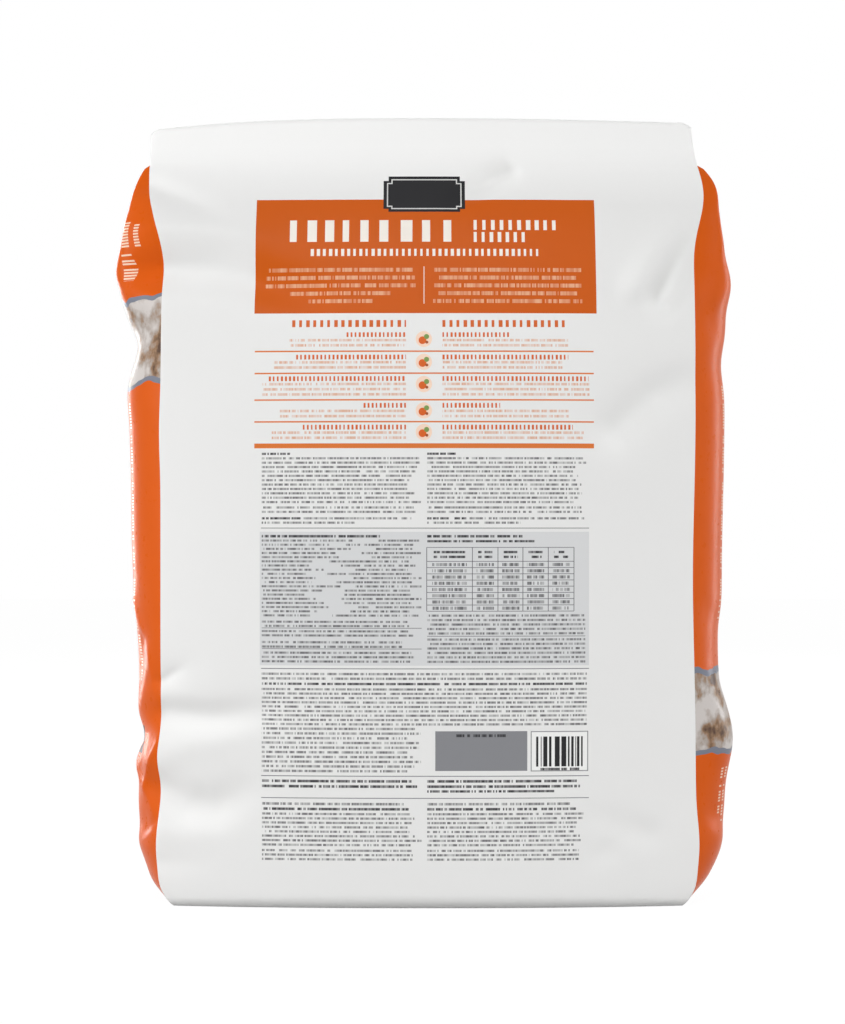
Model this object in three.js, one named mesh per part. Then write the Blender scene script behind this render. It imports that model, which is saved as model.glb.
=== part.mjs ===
import * as THREE from 'three';
import { mergeVertices } from 'three/addons/utils/BufferGeometryUtils.js';

// A filled and sealed side-gusset bag of dry pet food, standing on its folded base.
// One laminated film web makes the back panel (towards -Y), the two side gussets and the
// front panel. It is pinched flat and heat-sealed along the top and turned under at the base.
// Millimetres, +Z up, origin under the middle of the pack.

// Driving dimensions
const bagHeight = 536;        // base to the top edge of the seal
const panelWidth = 374;       // flat width of a panel, as the seal holds it
const packDepth = 134;        // through the middle of the filled pack
const gussetWidth = 96;       // between the back fold and the front fold of an opened gusset
const gussetSwell = 25;       // how far a gusset stands out past its folds
const sealHeight = 32;        // pinched band along the top
const sealThickness = 2.4;    // two panels and the tucked gussets, pressed together
const sealBow = 12;           // the band bows towards the back panel
const sealDip = { left: 6.5, right: 1.5 };  // the band's top edge drops towards its two ends
const sealCorner = 3;         // and is rounded off at its very corners
const shoulderHeight = 230;   // height over which the pack narrows up to the seal
const foldDraw = { left: 12.2, right: 2.5 };  // how far the filling draws each fold in
const foldFlare = { left: 0, right: 6.5 };    // and how far it springs out just under the seal
const baseRadius = 10;        // turn of a panel under the base, at its middle
const cornerRadius = 6;       // the same turn at the folds and under the gussets
const cornerCut = 9;          // how far the bottom corners are drawn in at the base
const cornerRise = 20;        // height over which that draw fades
const gussetLift = 20;        // height over which a gusset opens above the base
const lowerSlack = 4;         // how much slimmer each panel is near the base than at its middle
const tuckDepth = 24;         // centre of a gusset, drawn in under the seal
const tuckReach = 40;         // how far down that tuck runs
const baseTuck = 3;           // centre of a gusset, drawn in above the base
const centreCrease = 1.4;     // depth of the crease along the middle of each gusset
const flapWidth = 45;         // bottom flap, folded forward and glued under the base
const flapCrease = 1;         // depth of the creases in the underside

// Fineness of the skin
const panelSteps = 30;
const gussetSteps = 16;
const turnSteps = 3;
const wallSteps = 52;
const sealSteps = 2;

const sealFoot = bagHeight - sealHeight;
const halfWidth = panelWidth / 2;

const mix = (a, b, t) => a + (b - a) * t;
const clamp01 = (t) => Math.min(1, Math.max(0, t));
const ease = (t) => clamp01(t) ** 2 * (3 - 2 * clamp01(t));
const hump = (distance, spread) => Math.exp(-((distance / spread) ** 2));

// Swells and hollows of the two gussets, left and right: each is a height above the base,
// how far up and down it spreads, and how far it moves the gusset outwards.
const gussetSwells = {
  left: [
    { up: sealFoot - 43, spread: 16, out: 4 },
    { up: sealFoot - 72, spread: 27, out: 14 },
    { up: sealFoot - 128, spread: 14, out: -3 },
    { up: sealFoot - 159, spread: 16, out: 2.3 },
    { up: 168, spread: 48, out: -5 },
    { up: 112, spread: 14, out: -8 },
    { up: 84, spread: 16, out: -5 },
    { up: 58, spread: 16, out: -5 },
    { up: 26, spread: 18, out: -6 },
  ],
  right: [
    { up: sealFoot - 42, spread: 12, out: -1.5 },
    { up: sealFoot - 84, spread: 26, out: 6 },
    { up: sealFoot - 138, spread: 16, out: -2.6 },
    { up: 165, spread: 24, out: -3.5 },
    { up: 110, spread: 24, out: 6 },
  ],
};

// Where the folds of each side wander out or in, given in the same way
const foldSwells = {
  left: [
    { up: 319, spread: 25, out: 1 },
    { up: 100, spread: 14, out: 2.2 },
    { up: 40, spread: 24, out: 3 },
  ],
  right: [
    { up: 220, spread: 70, out: -2 },
    { up: 42, spread: 22, out: 2.4 },
  ],
};

// Valleys and ridges pressed into the film. Each follows a line of points, fades over its
// spread and towards its last point, and has a sharp edge along the line where it says so.
// On a panel, the first number of a point is the distance in from the named fold. On a
// gusset, it is the distance forward of the back fold. The second is the height. Sink is the
// depth, and less than none is a ridge.
const top = sealFoot;
const creases = [
  { face: 'back', fold: 'left', sink: 8, spread: 12,
    line: [[0, top - 60], [30, top - 62], [62, top - 74]] },
  { face: 'back', fold: 'left', sink: -3, spread: 12, line: [[0, top - 36], [52, top - 46]] },
  { face: 'back', fold: 'right', sink: 7, spread: 9,
    line: [[22, top - 97], [12, top - 80], [0, top - 66]] },
  { face: 'back', fold: 'right', sink: -2.5, spread: 9, line: [[36, top - 86], [16, top - 52]] },
  { face: 'back', fold: 'right', sink: 6.5, spread: 13,
    line: [[54, top - 184], [32, top - 162], [0, top - 148]] },
  { face: 'back', fold: 'left', sink: 4.2, spread: 8, sharp: true, line: [[0, 151], [16, 161]] },
  { face: 'back', fold: 'left', sink: 6, spread: 13, sharp: true,
    line: [[4, 128], [34, 125], [68, 129]] },
  { face: 'back', fold: 'left', sink: -1.5, spread: 11, line: [[10, 106], [58, 118]] },
  { face: 'back', fold: 'left', sink: 6.5, spread: 13,
    line: [[0, 78], [18, 69], [36, 67], [54, 76]] },
  { face: 'back', fold: 'left', sink: -1, spread: 8, line: [[4, 50], [46, 49]] },
  { face: 'back', fold: 'left', sink: 0.8, spread: 6, line: [[0, 30], [30, 30]] },
  { face: 'back', fold: 'right', sink: 2, spread: 9, line: [[34, 47], [72, 62]] },
  { face: 'back', fold: 'right', sink: 1, spread: 8, line: [[62, 38], [76, 34]] },
  { face: 'front', fold: 'left', sink: 5, spread: 16, line: [[2, top - 58], [70, top - 78]] },
  { face: 'front', fold: 'right', sink: 5, spread: 17, line: [[2, top - 70], [82, top - 84]] },
  { face: 'front', fold: 'left', sink: 4, spread: 14, line: [[4, 96], [62, 108]] },
  { face: 'front', fold: 'right', sink: 4, spread: 14, line: [[4, 120], [56, 104]] },
  { face: 'left', sink: 2, spread: 9, line: [[0, top - 74], [60, top - 90]] },
  { face: 'left', sink: 2.5, spread: 12, line: [[16, top - 112], [64, top - 132]] },
  { face: 'left', sink: -2.2, spread: 7, sharp: true, line: [[34, 205], [12, 168], [3, 138]] },
  { face: 'left', sink: 2.5, spread: 9, line: [[22, 176], [44, 128]] },
  { face: 'left', sink: -2.4, spread: 5, sharp: true, line: [[0, 109], [18, 76], [48, 96]] },
  { face: 'left', sink: 2, spread: 9, line: [[26, 96], [58, 118]] },
  { face: 'left', sink: -2, spread: 5, sharp: true, line: [[16, 80], [3, 58]] },
  { face: 'left', sink: 1.8, spread: 6, sharp: true, line: [[3, 58], [26, 44]] },
  { face: 'left', sink: 2, spread: 9, line: [[20, 54], [70, 40]] },
  { face: 'right', sink: 2.5, spread: 13, line: [[18, top - 108], [84, top - 84]] },
  { face: 'right', sink: 1.5, spread: 13, line: [[14, 196], [88, 170]] },
  { face: 'right', sink: 1, spread: 10, line: [[30, 150], [70, 140]] },
  { face: 'right', sink: 1.5, spread: 10, line: [[16, 60], [72, 40]] },
];

// Distance from a point to the line that a crease follows, and how far along it that is
function nearestOnLine(across, up, line) {
  let [distance, reached] = [Infinity, 0];
  for (let i = 1; i < line.length; i += 1) {
    const [startAcross, startUp] = line[i - 1];
    const [runAcross, runUp] = [line[i][0] - startAcross, line[i][1] - startUp];
    const along = clamp01(((across - startAcross) * runAcross + (up - startUp) * runUp)
      / (runAcross ** 2 + runUp ** 2));
    const away = Math.hypot(across - startAcross - along * runAcross, up - startUp - along * runUp);
    if (away < distance) [distance, reached] = [away, (i - 1 + along) / (line.length - 1)];
  }
  return [distance, reached];
}

// How far the creases of one face push the film in at a point of it
function sinkAt(face, acrossFrom, up) {
  let sink = 0;
  for (const crease of creases) {
    if (crease.face !== face) continue;
    const [distance, reached] = nearestOnLine(acrossFrom(crease.fold), up, crease.line);
    const fall = crease.sharp ? Math.exp(-distance / crease.spread) : hump(distance, crease.spread);
    sink += crease.sink * fall * (1 - 0.7 * reached ** 2);
  }
  return sink * ease((sealFoot - up) / 30) * ease(up / 20);
}

// Share of the full depth that the pack has reached below the seal
function shoulder(up, fullness) {
  return 1 - (1 - clamp01((sealFoot - up) / shoulderHeight)) ** fullness;
}

// Fold lines, where the panels meet the gussets
function foldX(side, up) {
  const name = side < 0 ? 'left' : 'right';
  let out = halfWidth - foldDraw[name] * ease((sealFoot - 10 - up) / 62);
  out += foldFlare[name] * hump(sealFoot - 22 - up, 28);
  for (const swell of foldSwells[name]) out += swell.out * hump(up - swell.up, swell.spread);
  return side * out;
}

// How far the bottom corners are drawn in at a height above the base
function cornerIn(up) {
  return cornerCut * clamp01(1 - up / cornerRise) ** 2.2;
}

// Middle surface of the pack, bowed with the seal and flattening out down the shoulder
function middleY(across, up) {
  const bowed = ease(1 - (sealFoot - up) / (shoulderHeight / 2));
  return -sealBow * bowed * (1 - across * across);
}

function foldDepth(up) {
  return mix(sealThickness, gussetWidth, shoulder(up, 3.6)) / 2;
}

// A panel swells from its folds to its middle. Across runs from -1 to 1.
function panelDepth(across, up) {
  const slack = lowerSlack * ease(1 - up / (sealFoot / 2));
  const middle = mix(sealThickness / 2, packDepth / 2 - slack, shoulder(up, 2.6));
  return mix(foldDepth(up), middle, 1 - Math.abs(across) ** 2.4);
}

// Gusset swell past the folds at a height
function gussetOut(name, up) {
  const underSeal = 1 - Math.exp(-Math.max(sealFoot + 3 - up, 0) / 24);
  const opened = underSeal * (1 - Math.exp(-Math.max(up - 1, 0) / gussetLift));
  let out = gussetSwell * opened;
  for (const swell of gussetSwells[name]) {
    out += swell.out * hump(up - swell.up, swell.spread) * opened;
  }
  return out;
}

// How far the seal's top edge drops at a point of it
function dipAt(across, up) {
  const dip = mix(sealDip.left, sealDip.right, (across + 1) / 2) * Math.abs(across) ** 2.5;
  const corner = sealCorner * clamp01((Math.abs(across) - 0.96) / 0.04) ** 2;
  return (dip + corner) * clamp01((up - sealFoot) / sealHeight);
}

// How far the middle of a gusset is drawn in: the tuck under the seal, the one above the
// base, and the crease that the flat bag was folded along. Across runs from -1 to 1.
function gussetIn(across, up) {
  const topTuck = tuckDepth * hump(sealFoot - 12 - up, tuckReach) * hump(across, 0.3);
  const lowTuck = baseTuck * hump(up, 26) * hump(across, 0.4);
  return topTuck + lowTuck + centreCrease * hump(across, 0.1);
}

// A row of the skin gives the height of each of its points and how far the turn under the
// base has drawn them in, for the radius that the turn has there.
const rows = [];
for (let step = 0; step < turnSteps; step += 1) {
  const angle = (step / turnSteps) * Math.PI / 2;
  rows.push({
    up: (radius) => radius * (1 - Math.cos(angle)),
    drawn: (radius) => radius * (1 - Math.sin(angle)),
  });
}
for (let step = 0; step < wallSteps; step += 1) {
  const share = step / wallSteps;
  rows.push({ up: (radius) => mix(radius, sealFoot, share), drawn: () => 0 });
}
const sealRow = rows.length;
for (let step = 0; step <= sealSteps; step += 1) {
  const share = step / sealSteps;
  rows.push({ up: () => mix(sealFoot, bagHeight, share), drawn: () => 0 });
}

// A point of the back panel (facing -1) or the front panel (facing 1)
function panelPoint(facing, across, row) {
  const radius = mix(cornerRadius, baseRadius, 1 - Math.abs(across) ** 2.4);
  const up = row.up(radius);
  const left = foldX(-1, up);
  const right = foldX(1, up);
  const x = mix(left, right, (across + 1) / 2) - cornerIn(up) * across;
  const fromFold = (fold) => (fold === 'left' ? x - left : right - x);
  const sink = sinkAt(facing < 0 ? 'back' : 'front', fromFold, up);
  const depth = Math.max(panelDepth(across, up) - row.drawn(radius) - sink, sealThickness / 2);
  return new THREE.Vector3(x, middleY(across, up) + facing * depth, up - dipAt(across, up));
}

// A point of the left gusset (side -1) or the right gusset (side 1), across from the back
// fold at -1 to the front fold at 1. Inside the seal a gusset is pressed flat between the
// panels, so that its points gather at the two ends of the seal's thickness.
function gussetPoint(side, across, row, rowIndex) {
  const end = panelPoint(across <= 0 ? -1 : 1, side, row);
  if (rowIndex >= sealRow) return end;
  const up = row.up(cornerRadius);
  const name = side < 0 ? 'left' : 'right';
  const forward = (across + 1) / 2 * gussetWidth;
  const out = gussetOut(name, up) * (1 - across * across) - gussetIn(across, up);
  const x = foldX(side, up) + side * (out - cornerIn(up) - sinkAt(name, () => forward, up));
  const middle = middleY(1, up);
  return new THREE.Vector3(x, middle + Math.abs(across) * (end.y - middle), up);
}

// Steps from -1 to 1, closer together towards the folds, where the film is creased most
function shares(steps) {
  const list = [];
  for (let step = 0; step <= steps; step += 1) {
    const even = (step / steps) * 2 - 1;
    list.push(mix(even, Math.sin(even * Math.PI / 2), 0.6));
  }
  return list;
}

// One ring of columns: back panel left to right, right gusset, front panel, left gusset
function columnRing() {
  const across = shares(panelSteps);
  const depthwise = shares(gussetSteps);
  const back = across.slice(0, -1).map((a) => (row) => panelPoint(-1, a, row));
  const front = across.slice(0, -1).map((a) => (row) => panelPoint(1, -a, row));
  const cornerOr = (side, a, row, index) => (
    Math.abs(a) === 1 ? panelPoint(a, side, row) : gussetPoint(side, a, row, index));
  const right = depthwise.slice(0, -1).map((a) => (row, index) => cornerOr(1, a, row, index));
  const left = depthwise.slice(0, -1).map((a) => (row, index) => cornerOr(-1, -a, row, index));
  return [...back, ...right, ...front, ...left];
}

// Height of the underside inside its edges. Creases show where the bottom flap was folded
// forward and where the gussets were folded in under it.
function undersideHeight(point, backEdge) {
  const cornerFold = Math.abs(point.x) - (halfWidth - cornerCut) + (point.y - backEdge);
  return flapCrease * Math.max(hump(point.y - backEdge - flapWidth, 3), hump(cornerFold, 3));
}

function bagSkin() {
  const columns = columnRing();
  const grid = rows.map((row, index) => columns.map((column) => column(row, index)));
  const positions = [];
  const triangle = (a, b, c) => {
    for (const p of [a, b, c]) positions.push(p.x, p.y, p.z);
  };
  const quad = (a, b, c, d) => {
    triangle(a, b, c);
    triangle(a, c, d);
  };
  const count = columns.length;
  for (let r = 0; r + 1 < rows.length; r += 1) {
    for (let c = 0; c < count; c += 1) {
      const next = (c + 1) % count;
      quad(grid[r][c], grid[r][next], grid[r + 1][next], grid[r + 1][c]);
    }
  }

  const ringPoint = (r, c) => grid[r][(c + count) % count];
  const frontStart = panelSteps + gussetSteps + panelSteps;
  const top = rows.length - 1;
  for (let i = 0; i < panelSteps; i += 1) {
    quad(ringPoint(top, i), ringPoint(top, i + 1),
      ringPoint(top, frontStart - i - 1), ringPoint(top, frontStart - i));
  }

  // The underside is a net between the four sides of the lowest ring.
  const corners = [ringPoint(0, 0), ringPoint(0, panelSteps),
    ringPoint(0, frontStart - panelSteps), ringPoint(0, frontStart)];
  const netPoint = (i, j) => {
    if (j === 0) return ringPoint(0, i);
    if (j === gussetSteps) return ringPoint(0, frontStart - i);
    if (i === 0) return ringPoint(0, -j);
    if (i === panelSteps) return ringPoint(0, panelSteps + j);
    const u = i / panelSteps;
    const v = j / gussetSteps;
    const point = new THREE.Vector3();
    point.addScaledVector(ringPoint(0, i), 1 - v).addScaledVector(ringPoint(0, frontStart - i), v);
    point.addScaledVector(ringPoint(0, -j), 1 - u).addScaledVector(ringPoint(0, panelSteps + j), u);
    point.addScaledVector(corners[0], -(1 - u) * (1 - v)).addScaledVector(corners[1], -u * (1 - v));
    point.addScaledVector(corners[2], -u * v).addScaledVector(corners[3], -(1 - u) * v);
    point.z = undersideHeight(point, corners[0].y);
    return point;
  };
  const net = [];
  for (let i = 0; i <= panelSteps; i += 1) {
    net.push([]);
    for (let j = 0; j <= gussetSteps; j += 1) net[i].push(netPoint(i, j));
  }
  for (let i = 0; i < panelSteps; i += 1) {
    for (let j = 0; j < gussetSteps; j += 1) {
      quad(net[i][j], net[i][j + 1], net[i + 1][j + 1], net[i + 1][j]);
    }
  }
  return positions;
}

// Joins the corners that the triangles share and drops those that the seal has pressed flat
function closedGeometry(positions) {
  const loose = new THREE.BufferGeometry();
  loose.setAttribute('position', new THREE.Float32BufferAttribute(positions, 3));
  const merged = mergeVertices(loose, 0.01);
  const index = [];
  const old = merged.index.array;
  for (let i = 0; i < old.length; i += 3) {
    const [a, b, c] = [old[i], old[i + 1], old[i + 2]];
    if (a !== b && b !== c && c !== a) index.push(a, b, c);
  }
  merged.setIndex(index);
  merged.computeVertexNormals();
  return merged;
}

const geometry = closedGeometry(bagSkin());
geometry.computeBoundingBox();
const middle = geometry.boundingBox.getCenter(new THREE.Vector3());
geometry.translate(-middle.x, -middle.y, -geometry.boundingBox.min.z);

const film = new THREE.MeshStandardMaterial({ color: 0xe9e8e4, roughness: 0.42, metalness: 0 });
const bag = new THREE.Mesh(geometry, film);
bag.name = 'bag';

const part = new THREE.Group();
part.add(bag);
export default part;
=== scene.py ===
import math

import bpy
import numpy as np
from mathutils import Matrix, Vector


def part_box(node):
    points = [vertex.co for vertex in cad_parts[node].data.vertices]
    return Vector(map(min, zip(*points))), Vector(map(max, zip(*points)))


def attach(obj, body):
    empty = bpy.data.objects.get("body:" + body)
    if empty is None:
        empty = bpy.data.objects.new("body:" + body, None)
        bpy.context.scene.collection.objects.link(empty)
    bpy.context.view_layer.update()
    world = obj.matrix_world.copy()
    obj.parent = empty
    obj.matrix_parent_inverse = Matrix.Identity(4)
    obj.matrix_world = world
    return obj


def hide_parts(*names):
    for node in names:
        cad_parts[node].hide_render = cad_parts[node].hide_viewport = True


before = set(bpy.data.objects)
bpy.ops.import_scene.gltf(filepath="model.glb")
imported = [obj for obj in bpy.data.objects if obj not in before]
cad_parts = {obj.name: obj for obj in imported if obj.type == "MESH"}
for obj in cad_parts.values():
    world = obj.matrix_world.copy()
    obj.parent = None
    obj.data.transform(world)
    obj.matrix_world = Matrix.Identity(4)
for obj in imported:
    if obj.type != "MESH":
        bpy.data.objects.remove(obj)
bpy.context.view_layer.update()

# The bag is one web of laminated plastic film: a white printed back panel, orange side
# gussets and an orange front. It is heat-sealed flat along the top, folded under at the
# base, and drawn tight by about nine kilograms of dry food. Sizes are in millimetres.
# Where two sides differ, -1 is the left and 1 the right.
MM = 0.001
low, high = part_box("bag")
bag_height = (high[2] - low[2]) / MM
pack_depth = (high[1] - low[1]) / MM
panel_width = 374
gusset_width = 96
gusset_swell = 25
seal_height = 32
seal_thickness = 1.6
seal_bow = 12
seal_lean = 8
seal_dip = {-1: 6.5, 1: 1.5}
seal_dip_power = 2.5
seal_corner = 3
seal_corner_share = 0.04
shoulder_height = 230
fold_fullness = 3.6
middle_fullness = 2.6
belly_power = 2.4
stiff_share = 0.8
stiff_height = 14
opening_gap = 3
opening_height = {-1: 20, 1: 18}
closing_gap = 1
closing_height = 20
draw = {-1: 12.2, 1: 2.5}
draw_gap = 10
draw_height = 62
flare = {-1: 0, 1: 6.5}
flare_gap = 22
flare_spread = 28
base_radius = 10
corner_radius = 6
corner_cut = 9
corner_rise = 20
corner_power = 2.2
lower_slack = 4
tuck_depth = 24
tuck_gap = 12
tuck_reach = 40
tuck_share = 0.3
base_tuck = 3
base_tuck_reach = 26
base_tuck_share = 0.4
centre_crease = 1.4
centre_share = 0.1
crease_fade = 0.7
flap_width = 45
flap_crease = 1.0
flap_spread = 3
hem_height = 5

seal_foot = bag_height - seal_height
half_width = panel_width / 2


def mix(a, b, t):
    return a + (b - a) * t


def ease(t):
    t = np.clip(t, 0, 1)
    return t * t * (3 - 2 * t)


def hump(distance, spread):
    return np.exp(-((distance / spread) ** 2))


# Swells and hollows of the gussets, left and right: height, spread, and how far out.
gusset_swells = {
    -1: ((seal_foot - 43, 16, 4), (seal_foot - 72, 27, 14), (seal_foot - 128, 14, -3),
         (seal_foot - 159, 16, 2.3), (168, 48, -5), (112, 14, -8), (84, 16, -5), (58, 16, -5),
         (26, 18, -6)),
    1: ((seal_foot - 28, 14, -4), (seal_foot - 54, 9, 1), (seal_foot - 84, 26, 6),
        (seal_foot - 138, 16, -2.6), (165, 24, -3.5), (110, 24, 6)),
}

# Where the folds of a side wander out or in, in the same three numbers.
fold_swells = {
    -1: ((319, 25, 1), (100, 14, 2.2), (40, 24, 3)),
    1: ((220, 70, -2), (42, 22, 2.4)),
}

# Creases of the film, each along a line of points. On a panel a point is its distance in
# from the named fold and its height; on a gusset, the distance forward of the back fold and
# its height. Then come the spread, how far the film sinks, or stands up where that is less
# than none, and whether the crease is soft or has a sharp line along its middle. Each
# crease fades out towards its last point.
top = seal_foot
creases = {
    "back": (
        ("left", ((0, top - 75), (34, top - 77), (100, top - 92)), 13, 10.5, "soft"),
        ("left", ((0, top - 44), (70, top - 50)), 11, -4, "soft"),
        ("left", ((0, top - 14), (42, top - 34)), 7, 4, "soft"),
        ("right", ((134, top - 8), (162, top - 25)), 6.5, 5, "soft"),
        ("right", ((22, top - 94), (13, top - 74), (3, top - 52)), 10, 11, "soft"),
        ("right", ((40, top - 88), (18, top - 48)), 10, -4.5, "soft"),
        ("right", ((54, top - 184), (32, top - 162), (0, top - 148)), 13, 6.5, "soft"),
        ("left", ((0, 151), (16, 161)), 8, 4.2, "sharp"),
        ("left", ((4, 129), (34, 127), (68, 131)), 10, 6.5, "soft"),
        ("left", ((10, 106), (58, 118)), 11, -1.5, "soft"),
        ("left", ((0, 78), (18, 69), (36, 67), (54, 76)), 13, 6.5, "soft"),
        ("left", ((4, 50), (46, 49)), 8, -1, "soft"),
        ("left", ((0, 30), (30, 30)), 6, 0.8, "soft"),
        ("right", ((36, 50), (70, 62)), 10, 1.4, "soft"),
        ("right", ((62, 38), (76, 34)), 8, 1, "soft"),
    ),
    "seal": (
        ("right", ((132, top - 6), (166, top - 26)), 8, 4.4, "soft"),
    ),
    "front": (
        ("left", ((2, top - 58), (70, top - 78)), 16, 5, "soft"),
        ("right", ((2, top - 70), (82, top - 84)), 17, 5, "soft"),
        ("left", ((4, 96), (62, 108)), 14, 4, "soft"),
        ("right", ((4, 120), (56, 104)), 14, 4, "soft"),
    ),
    -1: (
        (None, ((0, top - 74), (60, top - 90)), 9, 2.0, "soft"),
        (None, ((16, top - 112), (64, top - 132)), 12, 2.5, "soft"),
        (None, ((34, 205), (12, 168), (3, 138)), 7, -2.2, "sharp"),
        (None, ((22, 176), (44, 128)), 9, 2.5, "soft"),
        (None, ((0, 109), (18, 76), (48, 96)), 5, -2.4, "sharp"),
        (None, ((26, 96), (58, 118)), 9, 2.0, "soft"),
        (None, ((16, 80), (3, 58)), 5, -2.0, "sharp"),
        (None, ((3, 58), (26, 44)), 6, 1.8, "sharp"),
        (None, ((20, 54), (70, 40)), 9, 2.0, "soft"),
    ),
    1: (
        (None, ((18, top - 108), (84, top - 84)), 13, 2.5, "soft"),
        (None, ((14, 196), (88, 170)), 13, 1.5, "soft"),
        (None, ((30, 150), (70, 140)), 10, 1, "soft"),
        (None, ((16, 60), (72, 40)), 10, 1.5, "soft"),
    ),
}


def sink_at(face, across_from, up):
    """How far a face's creases sink the film, from each place's distance in from a fold."""
    sink = 0
    for fold, line, spread, depth, edge in creases[face]:
        across = across_from[fold]
        distance, reached = np.full(np.broadcast(across, up).shape, np.inf), 0
        for step, ((in_from, height), (in_to, height_to)) in enumerate(zip(line, line[1:])):
            run, rise = in_to - in_from, height_to - height
            along = (across - in_from) * run + (up - height) * rise
            along = np.clip(along / (run ** 2 + rise ** 2), 0, 1)
            away = np.hypot(across - in_from - along * run, up - height - along * rise)
            reached = np.where(away < distance, (step + along) / (len(line) - 1), reached)
            distance = np.minimum(distance, away)
        fall = hump(distance, spread) if edge == "soft" else np.exp(-distance / spread)
        sink = sink + depth * fall * (1 - crease_fade * reached ** 2)
    return sink


def free_of_ends(up):
    """Creases die out within 12 mm of the seal and 20 mm of the base, where film is held."""
    return ease((seal_foot + 2 - up) / 12) * ease(up / 20)


def shoulder(up, fullness):
    return 1 - (1 - np.clip((seal_foot - up) / shoulder_height, 0, 1)) ** fullness


def fold_x(side, up):
    out = half_width - draw[side] * ease((seal_foot - draw_gap - up) / draw_height)
    out = out + flare[side] * hump(seal_foot - flare_gap - up, flare_spread)
    for place, spread, swell in fold_swells[side]:
        out = out + swell * hump(up - place, spread)
    return side * out


def corner_in(up):
    return corner_cut * np.clip(1 - up / corner_rise, 0, 1) ** corner_power


def middle_y(across, up):
    bowed = ease(1 - (seal_foot - up) / (shoulder_height / 2))
    leaning = seal_lean * np.clip((up - seal_foot) / seal_height, 0, 1)
    pressed = sink_at("seal", {"right": half_width * (1 - across)}, up)
    return leaning + pressed - seal_bow * bowed * (1 - across ** 2)


def fold_depth(up):
    return mix(seal_thickness, gusset_width, shoulder(up, fold_fullness)) / 2


def panel_depth(across, up):
    slack = lower_slack * ease(1 - up / (seal_foot / 2))
    stiff = 1 - stiff_share * np.exp(-np.maximum(seal_foot - up, 0) / stiff_height)
    swelled = shoulder(up, middle_fullness) * stiff
    middle = mix(seal_thickness / 2, pack_depth / 2 - slack, swelled)
    return mix(fold_depth(up), middle, 1 - np.abs(across) ** belly_power)


def gusset_out(side, up):
    below_seal = np.maximum(seal_foot + opening_gap - up, 0)
    above_base = np.maximum(up - closing_gap, 0)
    opened = 1 - np.exp(-below_seal / opening_height[side])
    opened = opened * (1 - np.exp(-above_base / closing_height))
    out = gusset_swell * opened
    for place, spread, swell in gusset_swells[side]:
        out = out + swell * hump(up - place, spread) * opened
    return out


def gusset_in(across, up):
    top_tuck = tuck_depth * hump(seal_foot - tuck_gap - up, tuck_reach) * hump(across, tuck_share)
    low_tuck = base_tuck * hump(up, base_tuck_reach) * hump(across, base_tuck_share)
    return top_tuck + low_tuck + centre_crease * hump(across, centre_share)


def lowered(across, up):
    dip = mix(seal_dip[-1], seal_dip[1], (across + 1) / 2) * np.abs(across) ** seal_dip_power
    at_corner = (np.abs(across) - (1 - seal_corner_share)) / seal_corner_share
    corner = seal_corner * np.clip(at_corner, 0, 1) ** 2
    return (dip + corner) * np.clip((up - seal_foot) / seal_height, 0, 1)


# Each row of the skin: the angle of the turn under the base, then its share of the wall's
# height, then its share of the seal's.
turn_steps, wall_steps, seal_steps = 8, 205, 10
turn = np.r_[np.arange(turn_steps) / turn_steps, np.ones(wall_steps + seal_steps + 1)]
wall = np.r_[np.zeros(turn_steps), np.arange(wall_steps) / wall_steps, np.ones(seal_steps + 1)]
seal = np.r_[np.zeros(turn_steps + wall_steps), np.arange(seal_steps + 1) / seal_steps]
turn, wall, seal = turn[:, None] * math.pi / 2, wall[:, None], seal[:, None]
seal_row = turn_steps + wall_steps


def row_up(radius):
    return radius * (1 - np.cos(turn)) + wall * (seal_foot - radius) + seal * seal_height


def row_drawn(radius):
    return radius * (1 - np.sin(turn))


def panel_points(facing, across):
    radius = mix(corner_radius, base_radius, 1 - np.abs(across) ** belly_power)
    up = row_up(radius)
    left, right = fold_x(-1, up), fold_x(1, up)
    x = mix(left, right, (across + 1) / 2) - corner_in(up) * across
    face = "back" if facing < 0 else "front"
    sink = sink_at(face, {"left": x - left, "right": right - x}, up) * free_of_ends(up)
    depth = panel_depth(across, up) - row_drawn(radius) - sink
    y = middle_y(across, up) + facing * np.maximum(depth, seal_thickness / 2)
    return np.stack([x, y, up - lowered(across, up)], axis=-1)


def gusset_points(side, across):
    up = row_up(corner_radius) + 0 * across
    forward = (across + 1) / 2 * gusset_width
    out = gusset_out(side, up) * (1 - across ** 2) - gusset_in(across, up)
    sink = sink_at(side, {None: forward}, up) * free_of_ends(up)
    x = fold_x(side, up) + side * (out - corner_in(up) - sink)
    ends = {facing: panel_points(facing, np.array([[float(side)]])) for facing in (-1, 1)}
    middle = middle_y(1, up)
    reach = np.where(across <= 0, middle - ends[-1][..., 1], ends[1][..., 1] - middle)
    points = np.stack([x, middle + across * reach, up], axis=-1)
    pressed = np.where((across <= 0)[..., None], ends[-1], ends[1])
    points[seal_row:] = pressed[seal_row:]
    return points


def shares(steps, crowding=0.6):
    """Places from -1 to 1, closer together towards both ends."""
    even = np.arange(steps + 1) / steps * 2 - 1
    return mix(even, np.sin(even * math.pi / 2), crowding)[None, :]


panel_steps, gusset_steps = 130, 56
across, depthwise = shares(panel_steps), shares(gusset_steps)
back, front = panel_points(-1, across), panel_points(1, across)
right, left = gusset_points(1, depthwise), gusset_points(-1, depthwise)
for gusset, end in ((right, -1), (left, 0)):
    gusset[:, 0], gusset[:, -1] = back[:, end], front[:, end]

# The ring of columns: back panel left to right, right gusset, front panel, left gusset.
ring = np.concatenate([back[:, :-1], right[:, :-1], front[:, :0:-1], left[:, :0:-1]], axis=1)
row_count, column_count = ring.shape[:2]
points = ring.reshape(-1, 3).tolist()
index = np.arange(row_count * column_count).reshape(row_count, column_count)
faces, face_is_back, layout = [], [], []
column_is_back = np.arange(column_count) < panel_steps

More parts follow.
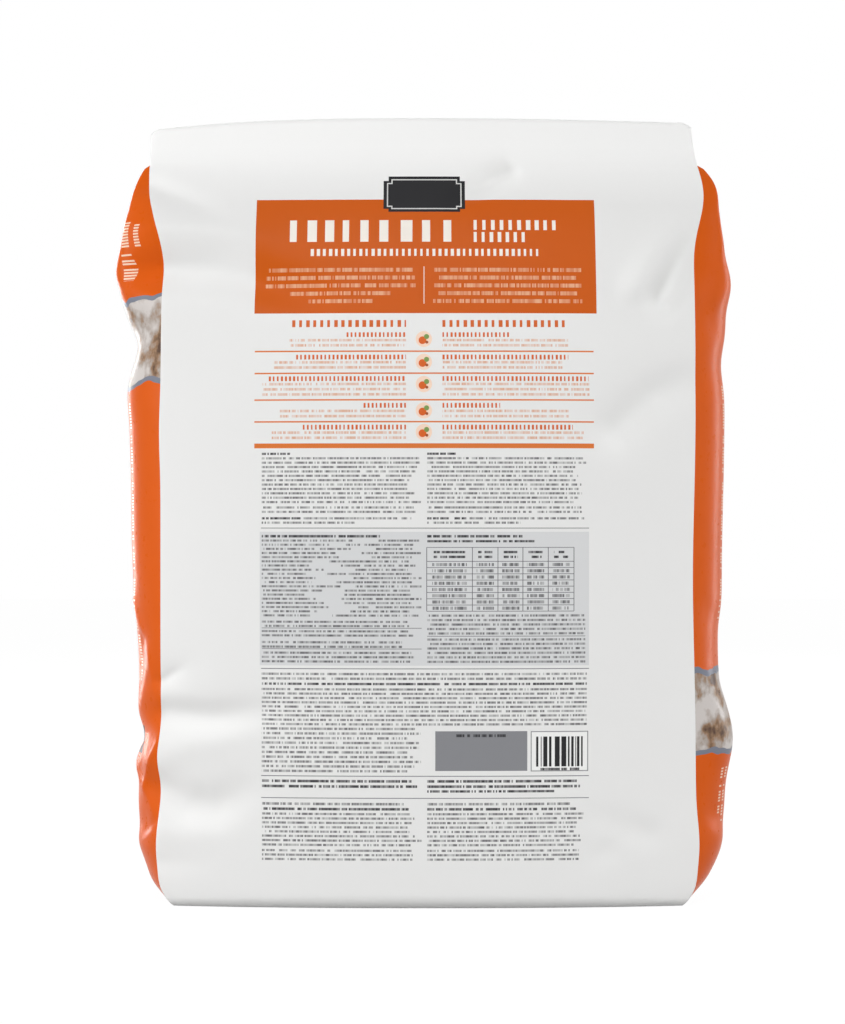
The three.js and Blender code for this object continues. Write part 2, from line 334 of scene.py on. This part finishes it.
# The layout for pictures gives the printed panel most of the width, then the front, the
# right gusset, the left gusset and the underside. Each strip is its start, its width and
# the shares of that width at which its columns stand.
margin, layout_height = 0.005, 0.98
top_strip = (0.987, 0.995)
under_start, under_width = 0.97, 0.025
panel_share, gusset_share = (across[0] + 1) / 2, (depthwise[0] + 1) / 2
strips = ((0.005, 0.64, panel_share), (0.765, 0.10, gusset_share),
          (0.655, 0.10, panel_share), (0.875, 0.09, gusset_share))
column_ends = [(first + width * a, first + width * b)
               for first, width, share in strips for a, b in zip(share, share[1:])]
for r in range(row_count - 1):
    foot_v, head_v = [margin + layout_height * row / (row_count - 1) for row in (r, r + 1)]
    for c in range(column_count):
        n = (c + 1) % column_count
        faces.append((index[r, c], index[r, n], index[r + 1, n], index[r + 1, c]))
        face_is_back.append(column_is_back[c])
        start, end = column_ends[c]
        layout += [(start, foot_v), (end, foot_v), (end, head_v), (start, head_v)]

# The strip that closes the two films of the seal along its top edge.
front_start = 2 * panel_steps + gusset_steps
for i in range(panel_steps):
    faces.append((index[-1, i], index[-1, i + 1],
                  index[-1, front_start - i - 1], index[-1, (front_start - i) % column_count]))
    face_is_back.append(True)
    start, end = column_ends[i]
    layout += [(start, top_strip[0]), (end, top_strip[0]),
               (end, top_strip[1]), (start, top_strip[1])]

# The underside is a net between the four sides of the lowest ring, creased where the flap
# was folded forward and where the gussets were folded in.
u = (np.arange(panel_steps + 1) / panel_steps)[:, None, None]
v = (np.arange(gusset_steps + 1) / gusset_steps)[None, :, None]
net = back[0][:, None] * (1 - v) + front[0][:, None] * v
net = net + left[0][None] * (1 - u) + right[0][None] * u
net = net - back[0, 0] * (1 - u) * (1 - v) - back[0, -1] * u * (1 - v)
net = net - front[0, -1] * u * v - front[0, 0] * (1 - u) * v
back_edge = back[0, 0, 1]
corner_fold = np.abs(np.abs(net[..., 0]) - half_width + corner_cut + net[..., 1] - back_edge)
flap_fold = np.abs(net[..., 1] - back_edge - flap_width)
folded = np.maximum(hump(flap_fold, flap_spread), hump(corner_fold, flap_spread))
net[..., 2] = flap_crease * folded
net_index = np.zeros((panel_steps + 1, gusset_steps + 1), int)
for i in range(panel_steps + 1):
    for j in range(gusset_steps + 1):
        if j == 0:
            net_index[i, j] = index[0, i]
        elif j == gusset_steps:
            net_index[i, j] = index[0, front_start - i]
        elif i == 0:
            net_index[i, j] = index[0, -j]
        elif i == panel_steps:
            net_index[i, j] = index[0, panel_steps + j]
        else:
            net_index[i, j] = len(points)
            points.append(net[i, j].tolist())
for i in range(panel_steps):
    for j in range(gusset_steps):
        corners = ((i, j), (i, j + 1), (i + 1, j + 1), (i + 1, j))
        faces.append([net_index[corner] for corner in corners])
        face_is_back.append(True)
        layout += [(under_start + under_width * b / gusset_steps,
                    margin + layout_height * a / panel_steps) for a, b in corners]

points = np.array(points)
centre = (points.min(axis=0) + points.max(axis=0)) / 2
points[:, :2] -= centre[:2]
mesh = bpy.data.meshes.new("bag_film")
mesh.from_pydata((points * MM).tolist(), [], [[int(k) for k in f] for f in faces])
mesh.uv_layers.new(name="OFBake").data.foreach_set("uv", np.ravel(layout))
bag_film = bpy.data.objects.new("bag_film", mesh)
bpy.context.collection.objects.link(bag_film)
for polygon, is_back in zip(mesh.polygons, face_is_back):
    polygon.use_smooth = True
    under_hem = polygon.center.z < hem_height * MM
    polygon.material_index = 0 if is_back or under_hem else 1


def linear(colour):
    channels = [int(colour[i:i + 2], 16) / 255 for i in (1, 3, 5)]
    return [c / 12.92 if c <= 0.04045 else ((c + 0.055) / 1.055) ** 2.4 for c in channels] + [1]


def add(tree, kind, inputs=None, output=0, **settings):
    """Adds a node and gives one of its outputs. Inputs maps a socket, by name or number, to
    a number, a colour or another node's output."""
    made = tree.nodes.new("ShaderNode" + kind)
    for name, value in settings.items():
        setattr(made, name, value)
    for socket, value in (inputs or {}).items():
        if isinstance(value, bpy.types.NodeSocket):
            tree.links.new(value, made.inputs[socket])
        else:
            made.inputs[socket].default_value = value
    return made.outputs[output]


# The white film: matt oriented polypropylene, printed on its inner side and laminated to
# milky polyethylene. Its face has a soft even sheen. Print is plain fields, rules and dashes.
white_film = bpy.data.materials.new("white_matt_laminated_polypropylene")
white_film.use_nodes = True
tree = white_film.node_tree
shader = tree.nodes["Principled BSDF"]
print_offset = 2.6
place = add(tree, "TexCoord", output="Object")
in_mm = add(tree, "VectorMath", {0: place, 1: (1 / MM,) * 3, 2: (print_offset, 0, 0)},
            operation="MULTIPLY_ADD")
x = add(tree, "SeparateXYZ", {0: in_mm}, "X")
z = add(tree, "SeparateXYZ", {0: in_mm}, "Z")


def joined(*masks):
    whole = masks[0]
    for other in masks[1:]:
        whole = add(tree, "Math", {0: whole, 1: other}, operation="MAXIMUM")
    return whole


def crossed(*masks):
    whole = masks[0]
    for other in masks[1:]:
        whole = add(tree, "Math", {0: whole, 1: other}, operation="MULTIPLY")
    return whole


def field(left, right, foot, head):
    """One where the film lies between these lines, and none elsewhere."""
    return crossed(*[
        add(tree, "Math", {0: along, 1: (start + end) / 2, 2: (end - start) / 2},
            operation="COMPARE")
        for along, start, end in ((x, left, right), (z, foot, head))])


def counted(along, blocks):
    """Numbers the steps of several blocks at once: none outside, and a new run in each."""
    longest_run = 60
    total = 0.0
    for number, (left, right, foot, head, start, pitch) in enumerate(blocks):
        first = 1 + longest_run * number - start / pitch
        steps = add(tree, "Math", {0: along, 1: 1 / pitch, 2: first}, operation="MULTIPLY_ADD")
        total = add(tree, "Math", {0: field(left, right, foot, head), 1: steps, 2: total},
                    operation="MULTIPLY_ADD")
    return total


# Headings are rows of plain blocks of uneven width: left, right, foot, head, and the pitch.
# The two-sided rows end at two lines, on either side of the column of discs.
left_inner, right_inner = -9.4, 14.9
heading_rows = [
    (-88.0, -34.5, 447.2, 462.4, 11.9), (-27.5, 28.5, 447.2, 462.4, 14.4),
    (36.1, 94.5, 455.5, 462.5, 5.9), (36.1, 72.9, 447.0, 454.0, 5.4),
    (-73.7, 79.5, 437.3, 442.2, 4.1), (-85.6, left_inner, 388.6, 393.3, 4.7),
    (right_inner, 97.5, 388.6, 393.3, 4.7)]
for at, to_left, to_right in ((383.4, 39.7, 44.4), (368.3, 73.3, 84.0), (353.8, 91.5, 97.5),
                              (335.9, 28.2, 38.3), (321.4, 68.6, 86.8)):
    heading_rows.append((left_inner - to_left, left_inner, at - 1.6, at + 1.6, 2.7))
    heading_rows.append((right_inner, right_inner + to_right, at - 1.6, at + 1.6, 2.7))
blocks = counted(x, [(left, right, foot, head, left, pitch)
                     for left, right, foot, head, pitch in heading_rows])
block_number = add(tree, "Math", {0: blocks}, operation="FLOOR")
block_share = add(tree, "Math", {0: blocks}, operation="FRACT")
block_noise = add(tree, "TexWhiteNoise", {"W": block_number}, noise_dimensions="1D")
block_width = add(tree, "MapRange", {"Value": block_noise, "To Min": 0.36, "To Max": 0.56})
headings = crossed(add(tree, "Math", {0: block_share, 1: block_width}, operation="LESS_THAN"),
                   add(tree, "Math", {0: blocks, 1: 0.5}, operation="GREATER_THAN"))

# Small print is lines of dashes of uneven tone, broken as words are. Its real strokes are too
# fine to show, so the dashes are drawn about twice as coarse. A paragraph is its left and right
# ends, the middle of its first line, its number of lines and their pitch.
header_pitch = 5.35
header_widths = ((97, 99), (100, 92), (101, 100), (68, 93), (43, 100))
paragraphs, bold_lines = [], []
for row, widths in enumerate(header_widths):
    for middle, width in zip((-53.5, 58.8), widths):
        paragraphs.append((middle - width / 2, middle + width / 2,
                           427.7 - header_pitch * row, 1, header_pitch))
for at, count, to_left, to_right in ((379.7, 2, 78, 84), (364.8, 2, 88, 80), (350.2, 3, 96, 98),
                                     (332.2, 2, 84, 84), (317.8, 2, 90, 94)):
    paragraphs += [(left_inner - to_left, left_inner, at, count, 3.45),
                   (right_inner, right_inner + to_right, at, count, 3.45)]
for start, end in ((-105.5, 1.0), (4.7, 111.8)):
    paragraphs += [(start, end, 300.7, 11, 2.91), (start, end - 4, 268.0, 2, 2.9),
                   (start + 28, end, 260.8, 1, 2.9), (start, start + 62, 257.9, 1, 2.9),
                   (start, end - 12, 70.7, 1, 3.4), (start, end, 64.0, 8, 2.95),
                   (start, end - 6, 39.6, 3, 2.92)]
    bold_lines += [(start, start + 19, 303.7, 1, 3.0), (start, start + 26, 260.8, 1, 3.0),
                   (start, end - 3, 85.9, 2, 3.5), (start, end - 8, 67.3, 1, 3.4)]
paragraphs += [(-105.6, 111.0, 157.3, 2, 3.1), (-105.6, 111.0, 147.1, 9, 2.91),
               (-105.6, 2.4, 120.8, 10, 3.13), (-105.5, 1.0, 246.0, 19, 2.767),
               (-105.5, 0.0, 192.0, 2, 2.8), (-105.5, 0.0, 185.7, 2, 2.8),
               (-105.5, -12.0, 178.4, 2, 3.0), (-105.5, -4.0, 171.4, 3, 2.9),
               (4.7, 110.0, 196.2, 5, 2.97), (4.7, 110.0, 180.3, 6, 2.96)]
bold_lines += [(-105.6, 111.0, 150.7, 1, 3.1), (4.7, 90.0, 79.2, 1, 3.2),
               (-105.5, -26.0, 248.9, 1, 3.4), (4.7, 68.0, 248.9, 1, 3.4),
               (4.7, 78.0, 245.6, 1, 3.0)]
table_foot, table_pitch = 199.1, 4.14
for left, right in ((8.0, 31.0), (37.5, 49.0), (54.5, 66.0), (71.0, 82.5), (88.0, 99.5)):
    paragraphs.append((left, right, 230.1, 8, table_pitch))
    bold_lines.append((left + 1, right - 1, 238.4, 2, 3.2))
bold_lines += [(80.0, 106.0, 93.9, 1, 3.4), (24.0, 58.0, 116.3, 1, 3.8)]
line_share, dash_length, word_gaps = 0.5, 0.95, 0.17


def paragraph_blocks(rows):
    for left, right, middle, count, pitch in rows:
        head = middle + pitch * line_share / 2
        yield left, right, head - pitch * (count - 1 + line_share), head, head, -pitch


lines = counted(z, paragraph_blocks(paragraphs + bold_lines))
line_number = add(tree, "Math", {0: lines}, operation="FLOOR")
in_line = add(tree, "Math", {0: lines}, operation="FRACT")
on_line = crossed(add(tree, "Math", {0: in_line, 1: line_share}, operation="LESS_THAN"),
                  add(tree, "Math", {0: lines, 1: 0.5}, operation="GREATER_THAN"))
dash_steps = add(tree, "Math", {0: x, 1: 1 / dash_length}, operation="MULTIPLY")
dash_number = add(tree, "Math", {0: dash_steps}, operation="FLOOR")
dash_place = add(tree, "CombineXYZ", {0: dash_number, 1: line_number})
word_noise = add(tree, "TexWhiteNoise", {0: dash_place}, noise_dimensions="2D")
dashed = add(tree, "Math", {0: word_noise, 1: word_gaps}, operation="GREATER_THAN")
tone_noise = add(tree, "TexWhiteNoise", {0: dash_place}, "Color", noise_dimensions="2D")
tone = add(tree, "SeparateColor", {0: tone_noise}, "Green")
dash_tone = add(tree, "MapRange", {"Value": tone, "To Min": 0.30, "To Max": 0.88})
bold_tone = add(tree, "MapRange", {"Value": tone, "To Min": 0.40, "To Max": 0.95})

# Lines end unevenly, except where they run the full width, and two-sided rows part midway.
column_start, column_pitch = -105.5, 110.2
line_noise = add(tree, "TexWhiteNoise", {"W": line_number}, "Color", noise_dimensions="1D")
end_noise, parting_noise, half_noise = [
    add(tree, "SeparateColor", {0: line_noise}, channel) for channel in ("Red", "Green", "Blue")]
line_end = add(tree, "MapRange", {"Value": end_noise, "To Min": 107.5, "To Max": 97.0})
from_start = add(tree, "Math", {0: x, 1: -column_start})
in_column = add(tree, "Math", {0: from_start, 1: column_pitch}, operation="MODULO")
ended = joined(add(tree, "Math", {0: in_column, 1: line_end}, operation="LESS_THAN"),
               field(-120, 120, 122.5, 159), field(-120, 120, 305, 440), field(3, 120, 92, 247))
parting = add(tree, "MapRange", {"Value": parting_noise, "To Min": -72.0, "To Max": -36.0})
parting_half = add(tree, "MapRange", {"Value": half_noise, "To Min": 4.0, "To Max": 13.0})
parted = add(tree, "Math", {0: x, 1: parting, 2: parting_half}, operation="COMPARE")
parted = crossed(parted, field(column_start, 1.0, 195.0, 247.5))
unparted = add(tree, "Math", {0: 1.0, 1: parted}, operation="SUBTRACT")
dashes = crossed(on_line, dashed, ended, unparted)
bold = joined(*[field(*block[:4]) for block in paragraph_blocks(bold_lines)])

# Rules, fields and the frame of a table.
header = field(-111.1, 118.3, 398.0, 477.3)
orange_rules = joined(*[field(-110.5, 115.9, at - 0.5, at + 0.5)
                        for at in (372.2, 357.4, 339.6, 325.0)],
                      field(-110.5, 115.9, 307.4, 310.6))
cream_rule = field(2.3, 2.9, 404.5, 430.0)
grey_field = field(-106.8, 112.5, 162.9, 251.9)
date_field = field(10.1, 71.3, 92.8, 119.3)
row_rule_share = 0.1
table_rows = add(tree, "Math", {0: z, 1: 1 / table_pitch,
                                2: row_rule_share / 2 - table_foot / table_pitch},
                 operation="MULTIPLY_ADD")
in_table_row = add(tree, "Math", {0: table_rows}, operation="FRACT")
row_rules = add(tree, "Math", {0: in_table_row, 1: row_rule_share}, operation="LESS_THAN")
hairlines = joined(
    *[field(-106.0, 112.5, at - 0.25, at + 0.25) for at in (254.3, 160.8, 89.3, 74.6)],
    *[field(-105.5, 1.0, at - 0.2, at + 0.2) for at in (187.8, 174.0)],
    *[field(at - 0.25, at + 0.25, table_foot, 241.5)
      for at in (4.4, 34.7, 51.7, 68.3, 85.2, 102.4)],
    field(4.7, 110.0, 182.3, 182.7), field(4.4, 102.4, 241.3, 241.7),
    crossed(row_rules, field(4.4, 102.4, 198.8, 232.6)))

# A framed field of plain bars, drawn coarser than real ones, which would run together.
bar_frame, bar_field = field(73.6, 112.0, 92.4, 119.2), field(74.2, 111.4, 93.0, 118.6)
bar_width, bar_gaps = 0.55, 0.28
bar_steps = add(tree, "Math", {0: x, 1: 1 / bar_width}, operation="MULTIPLY")
bar_number = add(tree, "Math", {0: bar_steps}, operation="FLOOR")
bar_noise = add(tree, "TexWhiteNoise", {"W": bar_number}, noise_dimensions="1D")
bars = crossed(add(tree, "Math", {0: bar_noise, 1: bar_gaps}, operation="GREATER_THAN"),
               field(77.2, 108.6, 95.6, 115.6))

# Five pale discs down the middle, each with three dots. A place is measured from the middle
# of the disc within reach of it, so one set of dots serves all five.
disc_x, disc_reach = 2.5, 6.5
disc_z = 0.0
for at in (380.4, 365.0, 350.1, 332.5, 318.1):
    near = add(tree, "Math", {0: z, 1: at, 2: disc_reach}, operation="COMPARE")
    disc_z = add(tree, "Math", {0: near, 1: at, 2: disc_z}, operation="MULTIPLY_ADD")
from_middle = add(tree, "CombineXYZ", {
    0: add(tree, "Math", {0: x, 1: disc_x}, operation="SUBTRACT"),
    1: add(tree, "Math", {0: z, 1: disc_z}, operation="SUBTRACT")})
disc_column = field(-10, 15, 308, 390)


def dot(across, up, radius):
    away = add(tree, "VectorMath", {0: from_middle, 1: (across, up, 0)}, "Value",
               operation="DISTANCE")
    return crossed(add(tree, "Math", {0: away, 1: radius}, operation="LESS_THAN"), disc_column)


# A plain dark plate with a pale line inside it stands over the header's top edge.
plate = joined(field(-24.9, 30.5, 470.5, 491.0), field(-21.5, 27.1, 468.4, 494.3))
plate_line = joined(field(-22.6, 28.2, 472.0, 489.5), field(-19.6, 25.2, 470.3, 492.3))
plate_middle = joined(field(-21.8, 27.4, 472.8, 488.7), field(-18.8, 24.4, 471.1, 491.5))


def printed(ground, *layers):
    """The ground's colour with each layer's ink over it, where that layer's mask is one."""
    for mask, ink in layers:
        under, over = [linear(c) if isinstance(c, str) else c for c in (ground, ink)]
        ground = add(tree, "Mix", {0: mask, 6: under, 7: over}, 2, data_type="RGBA")
    return ground


# Above the seal's foot there is no food behind the film, and light comes through it.
backlit = add(tree, "MapRange", {"Value": z, "From Min": seal_foot - 30,
                                 "From Max": seal_foot + 12})
above_table = field(-120, 120, 305, 500)
heading_ink = printed("#d2642a", (header, "#f6efe6"))
text_ink = printed("#4c4c4f", (above_table, "#dca583"), (header, "#ecb893"))
colour = printed(
    "#ececeb",
    (backlit, "#fcfcfb"),
    (header, "#cd5c14"),
    (orange_rules, "#dd7a3c"),
    (cream_rule, "#efe0d2"),
    (grey_field, "#dadbdc"),
    (date_field, "#8a8b8f"),
    (bar_frame, "#8c8c8e"),
    (bar_field, "#f4f4f3"),
    (headings, heading_ink),
    (crossed(dashes, dash_tone), text_ink),
    (hairlines, "#6e6e71"),
    (crossed(dashes, bold, bold_tone), "#3c3c3f"),
    (bars, "#2c2c2e"),
    (dot(0, 0, 5.4), "#f6d9c4"),
    (dot(-0.9, -0.8, 2.6), "#d9652b"),
    (dot(1.8, 1.7, 1.7), "#7d9a55"),
    (dot(2.0, -2.1, 1.0), "#a8552f"),
    (plate, "#2a2a2c"),
    (plate_line, "#d8d8d6"),
    (plate_middle, "#2a2a2c"))
tree.links.new(colour, shader.inputs["Base Color"])
shader.inputs["Specular IOR Level"].default_value = 0.1


def unevenness(smoothest, roughest, grain):
    """The fine unevenness that the laminate keeps from its rolls, about 30 mm and 5 mm across."""
    broad = add(tree, "TexNoise", {"Vector": in_mm, "Scale": 1 / 30, "Detail": 1.0})
    fine = add(tree, "TexNoise", {"Vector": in_mm, "Scale": 1 / 5, "Detail": 2.0})
    rough = add(tree, "MapRange", {"Value": fine, "To Min": smoothest, "To Max": roughest})
    tree.links.new(rough, shader.inputs["Roughness"])
    height = add(tree, "Math", {0: fine, 1: grain, 2: broad}, operation="MULTIPLY_ADD")
    bump = add(tree, "Bump", {"Height": height, "Distance": 0.5 * MM, "Strength": 0.35})
    tree.links.new(bump, shader.inputs["Normal"])
    return broad


unevenness(smoothest=0.40, roughest=0.50, grain=0.08)

# The orange film is the same laminate over solid ink, a little glossier. Each gusset has a
# soft mottled band across it and broken lines of pale dashes that run up it. Here x is the
# distance forward of the back fold. No print comes within 4 mm of the front panel.
orange_film = bpy.data.materials.new("orange_satin_laminated_polypropylene")
orange_film.use_nodes = True
tree = orange_film.node_tree
shader = tree.nodes["Principled BSDF"]
place = add(tree, "TexCoord", output="Object")
in_mm = add(tree, "VectorMath", {0: place, "Scale": 1 / MM}, operation="SCALE")
broad = unevenness(smoothest=0.25, roughest=0.32, grain=0.02)
side_reach, front_gap = 30, 4
sideways = add(tree, "SeparateXYZ", {0: in_mm}, "X")
forward = add(tree, "SeparateXYZ", {0: in_mm}, "Y")
z = add(tree, "SeparateXYZ", {0: in_mm}, "Z")
x = add(tree, "Math", {0: forward, 1: gusset_width / 2})
short_of_front = add(tree, "Math", {0: forward, 1: gusset_width / 2 - front_gap},
                     operation="LESS_THAN")
on_left = crossed(add(tree, "Math", {0: sideways, 1: side_reach - half_width},
                      operation="LESS_THAN"), short_of_front)
on_right = crossed(add(tree, "Math", {0: sideways, 1: half_width - side_reach},
                       operation="GREATER_THAN"), short_of_front)

mottle_size, wave_size, wave_height = 16, 34, 26.0
mottle = add(tree, "TexNoise", {"Vector": in_mm, "Scale": 1 / mottle_size, "Detail": 4.0})
wave_noise = add(tree, "TexNoise", {"Vector": in_mm, "Scale": 1 / wave_size})
wave = add(tree, "Math", {0: wave_noise, 1: wave_height, 2: z}, operation="MULTIPLY_ADD")
fur = add(tree, "ValToRGB", {0: mottle})
tufts = fur.node.color_ramp.elements
tufts[0].position, tufts[0].color = 0.34, linear("#5f4a3f")
tufts[1].position, tufts[1].color = 0.60, linear("#cdc7c3")
tufts.new(0.42).color = linear("#97795f")
tufts.new(0.50).color = linear("#aea39b")


def bands(border):
    """The mottled bands of both gussets, grown by a border, with wavy edges."""
    return joined(*[
        crossed(add(tree, "Math", {0: wave, 1: (foot + head + wave_height) / 2,
                                   2: (head - foot) / 2 + border}, operation="COMPARE"), side)
        for foot, head, side in ((354, 409, on_left), (107, 156, on_right))])


# The lines of dashes: how far forward of the back fold they start and end, and from where to
# where they run up. The dashes are drawn coarser than letters would be.
left_lines = joined(field(24.5, 27, 445, 461), field(30, 36, 423, 463), field(30, 34, 150, 342))
right_lines = joined(field(32, 36, 192, 352), field(29, 32.5, 54, 92),
                     field(22.5, 25.5, 60, 91))
step_length, dash_share, dash_gaps = 2.0, 0.6, 0.2
steps = add(tree, "Math", {0: z, 1: 1 / step_length}, operation="MULTIPLY")
step_number = add(tree, "Math", {0: steps}, operation="FLOOR")
in_step = add(tree, "Math", {0: steps}, operation="FRACT")
step_noise = add(tree, "TexWhiteNoise", {"W": step_number}, noise_dimensions="1D")
side_dashes = crossed(
    joined(crossed(left_lines, on_left), crossed(right_lines, on_right)),
    add(tree, "Math", {0: in_step, 1: dash_share}, operation="LESS_THAN"),
    add(tree, "Math", {0: step_noise, 1: dash_gaps}, operation="GREATER_THAN"))
dark_field = crossed(field(27, 47, 100.5, 119.5), on_left)
colour = printed(
    "#db5e17",
    (broad, "#d35914"),
    (bands(border=4), "#7b7f8c"),
    (bands(border=0), fur),
    (side_dashes, "#f0d0b8"),
    (dark_field, "#4a4747"))
tree.links.new(colour, shader.inputs["Base Color"])
shader.inputs["Specular IOR Level"].default_value = 0.04
mesh.materials.append(white_film)
mesh.materials.append(orange_film)

# In the seal the gussets are pressed flat, and their points that meet the panels' are joined.
bpy.ops.object.select_all(action="DESELECT")
bag_film.select_set(True)
bpy.context.view_layer.objects.active = bag_film
bpy.ops.object.mode_set(mode="EDIT")
bpy.ops.mesh.select_all(action="SELECT")
bpy.ops.mesh.remove_doubles(threshold=0.01 * MM)
bpy.ops.object.mode_set(mode="OBJECT")

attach(bag_film, "root")
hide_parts("bag")

# A plain pale floor, white to the camera apart from the bag's own faint shadow. Most of what
# the camera sees of it is a plain glow, and the rest is paper that the bag shades.
bpy.ops.mesh.primitive_plane_add(size=12, location=(0, 0, 0))
floor = bpy.context.object
floor.name = "floor"
paper = bpy.data.materials.new("white_paper")
paper.use_nodes = True
tree = paper.node_tree
paper_shader = tree.nodes["Principled BSDF"]
paper_shader.inputs["Base Color"].default_value = linear("#b8b8b8")
paper_shader.inputs["Roughness"].default_value = 0.9


def show_white(lit, white, last):
    """Camera, glossy and transmission rays meet the white shader, and all others the lit one."""
    rays = tree.nodes.new("ShaderNodeLightPath")
    straight = rays.outputs["Is Camera Ray"]
    for kind in ("Is Glossy Ray", "Is Transmission Ray"):
        straight = add(tree, "Math", {0: straight, 1: rays.outputs[kind]}, operation="MAXIMUM")
    shown = add(tree, "MixShader", {0: straight, 1: lit, 2: white})
    tree.links.new(shown, tree.nodes[last].inputs["Surface"])


glow_strength, glow_share = 1.05, 0.93
glow = add(tree, "Emission", {"Strength": glow_strength})
shaded = add(tree, "MixShader", {0: glow_share, 1: paper_shader.outputs[0], 2: glow})
show_white(paper_shader.outputs[0], shaded, "Material Output")
floor.data.materials.append(paper)

# The room is a white studio: dim light from all round, and plain white where it is seen.
world = bpy.data.worlds.new("studio")
bpy.context.scene.world = world
world.use_nodes = True
tree = world.node_tree
room = tree.nodes["Background"]
room.inputs["Color"].default_value = (1, 1, 1, 1)
room.inputs["Strength"].default_value = 0.31
white = add(tree, "Background", {"Color": (1, 1, 1, 1), "Strength": 1.0})
show_white(room.outputs[0], white, "World Output")


def softbox(name, place, width, height, power, target=(0, 0, 0.28), spread=180):
    lamp = bpy.data.lights.new(name, "AREA")
    lamp.shape = "RECTANGLE"
    lamp.size, lamp.size_y, lamp.energy = width, height, power
    lamp.spread = math.radians(spread)
    holder = bpy.data.objects.new(name, lamp)
    bpy.context.collection.objects.link(holder)
    holder.location = place
    holder.rotation_euler = (Vector(target) - Vector(place)).to_track_quat("-Z", "Y").to_euler()


# Softboxes, with places and sizes in metres and powers in watts. The key shines down from
# above the camera, so that creases read, and the fill opens its shadows. The strips and rims
# light the gussets from beside and behind, and one far box lights the front panel.
softbox("key", (-0.26, -2.4, 2.2), 1.3, 1.3, 13.8, (0, -1.1, 0), 76)
softbox("fill", (0.6, -2.4, 0.4), 1.2, 1.2, 7.6, (0, 0, 0.2))
softbox("left_strip", (-1.6, -0.2, 0.35), 0.4, 1.6, 15.4)
softbox("right_strip", (1.6, -0.2, 0.35), 0.4, 1.6, 6.4)
softbox("left_rim", (-1.0, 1.2, 0.35), 0.12, 1.3, 10)
softbox("right_rim", (1.38, 0.85, 0.35), 0.12, 1.3, 8)
softbox("far_side", (0.4, 2.6, 1.5), 1.4, 1.4, 24, (0, 0, 0.25))

# The camera stands level with the middle of the bag and looks straight at the printed panel.
camera = bpy.data.objects.new("camera", bpy.data.cameras.new("camera"))
bpy.context.collection.objects.link(camera)
camera.location = (-0.001, -1.75, 0.265)
camera.rotation_euler = (math.pi / 2, 0, 0)
camera.data.lens = 89.16
camera.data.sensor_width = 36
camera.data.clip_end = 50
bpy.context.scene.camera = camera
bpy.context.scene.view_settings.view_transform = "Standard"
